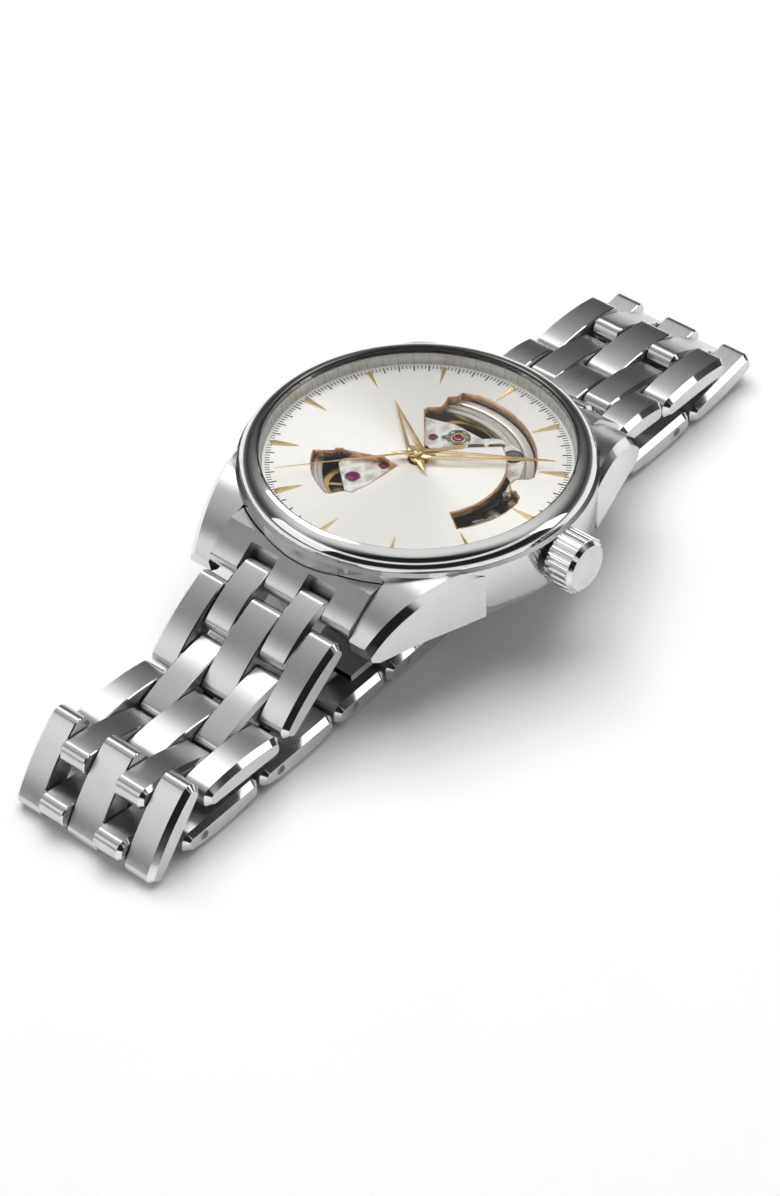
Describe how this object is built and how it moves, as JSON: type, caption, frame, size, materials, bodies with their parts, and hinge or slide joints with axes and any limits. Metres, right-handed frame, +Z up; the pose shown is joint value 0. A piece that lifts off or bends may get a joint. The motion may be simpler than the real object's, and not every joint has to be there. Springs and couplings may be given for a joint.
{
  "type": "skeleton wristwatch",
  "caption": "Round open-heart automatic wristwatch on a staggered-link steel bracelet that lies folded under the head.",
  "frame": {"origin": "on the floor below the dial centre, on the flat outer face of the clasp's centre link", "axes": "+X to 3 o'clock and the crown, +Y to 12 o'clock along the bracelet, +Z up"},
  "size_m": [0.0437, 0.1036, 0.0187],
  "materials": {
    "case_steel": "satin",
    "polished_steel": "polished",
    "sapphire": "polished",
    "gasket_rubber": "matte",
    "rehaut_silver": "satin",
    "dial_silver": "sunray satin",
    "gold": "polished gold plate",
    "rhodium_plate": "striped",
    "gilt_brass": "polished",
    "hard_steel": "ground",
    "ruby": "polished",
    "rotor_steel": "striped",
    "bracelet_steel": "brushed with polished bevels",
    "clasp_steel": "brushed"
  },
  "bodies": {
    "head": {"case_middle": "case_steel", "bezel": "polished_steel", "crystal": "sapphire", "seals": "gasket_rubber", "rehaut": "rehaut_silver", "dial": "dial_silver", "hour_markers": "gold", "main_plate": "rhodium_plate", "movement_ring": "rhodium_plate", "balance_cock": "rhodium_plate", "train_bridge": "rhodium_plate", "jewels": "ruby", "crown_tube": "hard_steel", "caseback": "case_steel", "caseback_glass": "sapphire", "end_links": "case_steel", "spring_bars": "hard_steel"},
    "minute_hand": {"minute_hand": "gold"},
    "hour_hand": {"hour_hand": "gold"},
    "seconds_arbor": {"seconds_hand": "gold", "fourth_wheel": "gilt_brass"},
    "third_wheel": {"third_wheel": "gilt_brass"},
    "escape_wheel": {"escape_wheel": "hard_steel"},
    "barrel": {"barrel": "gilt_brass"},
    "balance": {"balance_wheel": "gilt_brass"},
    "pallet_fork": {"pallet_fork": "hard_steel"},
    "rotor": {"rotor": "rotor_steel"},
    "winding_pinion": {"winding_pinion": "hard_steel"},
    "crown": {"crown": "case_steel", "winding_stem": "hard_steel"},
    "six_row_01": {"six_row_01": "bracelet_steel"},
    "six_row_02": {"six_row_02": "bracelet_steel"},
    "six_row_03": {"six_row_03": "bracelet_steel"},
    "six_row_04": {"six_row_04": "bracelet_steel"},
    "six_row_05": {"six_row_05": "bracelet_steel"},
    "six_row_06": {"six_row_06": "bracelet_steel"},
    "six_row_07": {"six_row_07": "bracelet_steel"},
    "six_row_08": {"six_row_08": "bracelet_steel"},
    "six_row_09": {"six_row_09": "bracelet_steel"},
    "six_row_10": {"six_row_10": "bracelet_steel"},
    "six_row_11": {"six_row_11": "bracelet_steel"},
    "six_row_12": {"six_row_12": "bracelet_steel"},
    "six_clasp_row": {"six_clasp_row": "bracelet_steel"},
    "twelve_row_01": {"twelve_row_01": "bracelet_steel"},
    "twelve_row_02": {"twelve_row_02": "bracelet_steel"},
    "twelve_row_03": {"twelve_row_03": "bracelet_steel"},
    "twelve_row_04": {"twelve_row_04": "bracelet_steel"},
    "twelve_row_05": {"twelve_row_05": "bracelet_steel"},
    "twelve_row_06": {"twelve_row_06": "bracelet_steel"},
    "twelve_row_07": {"twelve_row_07": "bracelet_steel"},
    "twelve_row_08": {"twelve_row_08": "bracelet_steel"},
    "twelve_row_09": {"twelve_row_09": "bracelet_steel"},
    "twelve_row_10": {"twelve_row_10": "bracelet_steel"},
    "twelve_row_11": {"twelve_row_11": "bracelet_steel"},
    "twelve_row_12": {"twelve_row_12": "bracelet_steel"},
    "twelve_clasp_row": {"twelve_clasp_row": "bracelet_steel"},
    "short_blade": {"clasp_short_blade": "clasp_steel"},
    "long_blade": {"clasp_long_blade": "clasp_steel"},
    "left_button": {"push_button_left": "clasp_steel"},
    "right_button": {"push_button_right": "clasp_steel"}
  },
  "joints": [
    {"name": "minute_turn", "type": "hinge", "parent": "head", "child": "minute_hand", "pos_m": [0, 0, 0.0156], "axis": [0, 0.0563, 0.9984], "continuous": true},
    {"name": "hour_turn", "type": "hinge", "parent": "head", "child": "hour_hand", "pos_m": [0, 0, 0.0156], "axis": [0, 0.0563, 0.9984], "continuous": true},
    {"name": "barrel_turn", "type": "hinge", "parent": "head", "child": "barrel", "pos_m": [0.0056, -0.00573, 0.01342], "axis": [0, 0.0563, 0.9984], "continuous": true},
    {"name": "seconds_turn", "type": "hinge", "parent": "head", "child": "seconds_arbor", "pos_m": [0, 0, 0.0156], "axis": [0, 0.0563, 0.9984], "continuous": true},
    {"name": "third_wheel_turn", "type": "hinge", "parent": "head", "child": "third_wheel", "pos_m": [-0.0042, -0.00621, 0.01375], "axis": [0, 0.0563, 0.9984], "continuous": true},
    {"name": "escape_wheel_turn", "type": "hinge", "parent": "head", "child": "escape_wheel", "pos_m": [-0.0063, 0.00244, 0.01276], "axis": [0, 0.0563, 0.9984], "continuous": true},
    {"name": "balance_swing", "type": "hinge", "parent": "head", "child": "balance", "pos_m": [0.0004, 0.00627, 0.01304], "axis": [0, 0.0563, 0.9984], "range_deg": [-270, 270]},
    {"name": "pallet_rock", "type": "hinge", "parent": "head", "child": "pallet_fork", "pos_m": [-0.0019, 0.00464, 0.01263], "axis": [0, 0.0563, 0.9984], "range_deg": [-6, 6]},
    {"name": "rotor_turn", "type": "hinge", "parent": "head", "child": "rotor", "pos_m": [0, -0.00031, 0.01011], "axis": [0, 0.0563, 0.9984], "continuous": true},
    {"name": "crown_turn", "type": "hinge", "parent": "head", "child": "winding_pinion", "pos_m": [0.0109, -0.00015, 0.0129], "axis": [1, 0, 0], "continuous": true},
    {"name": "crown_pull", "type": "slide", "parent": "winding_pinion", "child": "crown", "axis": [1, 0, 0], "range_m": [0, 0.001]},
    {"name": "six_pivot_01", "type": "hinge", "parent": "head", "child": "six_row_01", "pos_m": [0, -0.02202, 0.01234], "axis": [-1, 0, 0], "range_deg": [-0.5, 8]},
    {"name": "six_pivot_02", "type": "hinge", "parent": "six_row_01", "child": "six_row_02", "pos_m": [0, -0.02641, 0.00994], "axis": [-1, 0, 0], "range_deg": [-0.5, 5]},
    {"name": "six_pivot_03", "type": "hinge", "parent": "six_row_02", "child": "six_row_03", "pos_m": [0, -0.03131, 0.00657], "axis": [-1, 0, 0], "range_deg": [-29.29, 0.5]},
    {"name": "six_pivot_04", "type": "hinge", "parent": "six_row_03", "child": "six_row_04", "pos_m": [0, -0.03709, 0.00513], "axis": [-1, 0, 0], "range_deg": [-25.25, 0.5]},
    {"name": "six_pivot_05", "type": "hinge", "parent": "six_row_04", "child": "six_row_05", "pos_m": [0, -0.04303, 0.00539], "axis": [-1, 0, 0], "range_deg": [-21.55, 0.5]},
    {"name": "six_pivot_06", "type": "hinge", "parent": "six_row_05", "child": "six_row_06", "pos_m": [0, -0.04877, 0.00697], "axis": [-1, 0, 0], "range_deg": [-0.5, 57.03]},
    {"name": "six_fold", "type": "hinge", "parent": "six_row_06", "child": "six_row_07", "pos_m": [0, -0.0527, 0.0025], "axis": [-1, 0, 0], "range_deg": [0, 115.16]},
    {"name": "six_pivot_08", "type": "hinge", "parent": "six_row_07", "child": "six_row_08", "pos_m": [0, -0.0468, 0.00165], "axis": [-1, 0, 0], "range_deg": [-0.5, 3]},
    {"name": "six_pivot_09", "type": "hinge", "parent": "six_row_08", "child": "six_row_09", "pos_m": [0, -0.04085, 0.00165], "axis": [-1, 0, 0], "range_deg": [-0.5, 3]},
    {"name": "six_pivot_10", "type": "hinge", "parent": "six_row_09", "child": "six_row_10", "pos_m": [0, -0.0349, 0.00165], "axis": [-1, 0, 0], "range_deg": [-0.5, 3]},
    {"name": "six_pivot_11", "type": "hinge", "parent": "six_row_10", "child": "six_row_11", "pos_m": [0, -0.02895, 0.00165], "axis": [-1, 0, 0], "range_deg": [-0.5, 3]},
    {"name": "six_pivot_12", "type": "hinge", "parent": "six_row_11", "child": "six_row_12", "pos_m": [0, -0.023, 0.00165], "axis": [-1, 0, 0], "range_deg": [-0.5, 3]},
    {"name": "six_clasp_pivot", "type": "hinge", "parent": "six_row_12", "child": "six_clasp_row", "pos_m": [0, -0.0189, 0.00165], "axis": [-1, 0, 0], "range_deg": [-0.5, 3]},
    {"name": "twelve_pivot_01", "type": "hinge", "parent": "head", "child": "twelve_row_01", "pos_m": [0, 0.02151, 0.00988], "axis": [1, 0, 0], "range_deg": [-0.5, 6]},
    {"name": "twelve_pivot_02", "type": "hinge", "parent": "twelve_row_01", "child": "twelve_row_02", "pos_m": [0, 0.0241, 0.0071], "axis": [1, 0, 0], "range_deg": [-52.1, 0.5]},
    {"name": "twelve_pivot_03", "type": "hinge", "parent": "twelve_row_02", "child": "twelve_row_03", "pos_m": [0, 0.02845, 0.0068], "axis": [1, 0, 0], "range_deg": [-0.5, 3]},
    {"name": "twelve_pivot_04", "type": "hinge", "parent": "twelve_row_03", "child": "twelve_row_04", "pos_m": [0, 0.0343, 0.00571], "axis": [1, 0, 0], "range_deg": [-16.68, 0.5]},
    {"name": "twelve_pivot_05", "type": "hinge", "parent": "twelve_row_04", "child": "twelve_row_05", "pos_m": [0, 0.04024, 0.00546], "axis": [1, 0, 0], "range_deg": [-0.5, 21.11]},
    {"name": "twelve_fold", "type": "hinge", "parent": "twelve_row_05", "child": "twelve_row_06", "pos_m": [0, 0.04535, 0.0024], "axis": [1, 0, 0], "range_deg": [0, 133.86]},
    {"name": "twelve_pivot_07", "type": "hinge", "parent": "twelve_row_06", "child": "twelve_row_07", "pos_m": [0, 0.03945, 0.00165], "axis": [1, 0, 0], "range_deg": [-0.5, 3]},
    {"name": "twelve_pivot_08", "type": "hinge", "parent": "twelve_row_07", "child": "twelve_row_08", "pos_m": [0, 0.0335, 0.00165], "axis": [1, 0, 0], "range_deg": [-0.5, 3]},
    {"name": "twelve_pivot_09", "type": "hinge", "parent": "twelve_row_08", "child": "twelve_row_09", "pos_m": [0, 0.02755, 0.00165], "axis": [1, 0, 0], "range_deg": [-0.5, 3]},
    {"name": "twelve_pivot_10", "type": "hinge", "parent": "twelve_row_09", "child": "twelve_row_10", "pos_m": [0, 0.0216, 0.00165], "axis": [1, 0, 0], "range_deg": [-0.5, 3]},
    {"name": "twelve_pivot_11", "type": "hinge", "parent": "twelve_row_10", "child": "twelve_row_11", "pos_m": [0, 0.01565, 0.00165], "axis": [1, 0, 0], "range_deg": [-0.5, 3]},
    {"name": "twelve_pivot_12", "type": "hinge", "parent": "twelve_row_11", "child": "twelve_row_12", "pos_m": [0, 0.0097, 0.00165], "axis": [1, 0, 0], "range_deg": [-0.5, 3]},
    {"name": "twelve_clasp_pivot", "type": "hinge", "parent": "twelve_row_12", "child": "twelve_clasp_row", "pos_m": [0, 0.0052, 0.00165], "axis": [1, 0, 0], "range_deg": [-0.5, 3]},
    {"name": "short_blade_pivot", "type": "hinge", "parent": "six_clasp_row", "child": "short_blade", "pos_m": [0, -0.0081, 0.00165], "axis": [-1, 0, 0], "range_deg": [-1, 151]},
    {"name": "long_blade_pivot", "type": "hinge", "parent": "short_blade", "child": "long_blade", "pos_m": [0, -0.0236, 0.00415], "axis": [1, 0, 0], "range_deg": [-1, 166]},
    {"name": "left_button_press", "type": "slide", "parent": "long_blade", "child": "left_button", "axis": [1, 0, 0], "range_m": [0, 0.0005]},
    {"name": "right_button_press", "type": "slide", "parent": "long_blade", "child": "right_button", "axis": [-1, 0, 0], "range_m": [0, 0.0005]}
  ],
  "couplings": [
    {"joint": "hour_turn", "follows": "minute_turn", "ratio": 0.083333},
    {"joint": "barrel_turn", "follows": "minute_turn", "ratio": 0.125},
    {"joint": "third_wheel_turn", "follows": "seconds_turn", "ratio": -0.13333},
    {"joint": "escape_wheel_turn", "follows": "seconds_turn", "ratio": -10},
    {"joint": "six_pivot_03", "follows": "six_fold", "ratio": -0.24747},
    {"joint": "six_pivot_04", "follows": "six_fold", "ratio": -0.21274},
    {"joint": "six_pivot_05", "follows": "six_fold", "ratio": -0.18093},
    {"joint": "six_pivot_06", "follows": "six_fold", "ratio": 0.48603},
    {"joint": "twelve_pivot_02", "follows": "twelve_fold", "ratio": -0.38168},
    {"joint": "twelve_pivot_04", "follows": "twelve_fold", "ratio": -0.11966},
    {"joint": "twelve_pivot_05", "follows": "twelve_fold", "ratio": 0.15244},
    {"joint": "short_blade_pivot", "follows": "six_fold", "ratio": 1.3025},
    {"joint": "long_blade_pivot", "follows": "six_fold", "ratio": 1.4327}
  ]
}
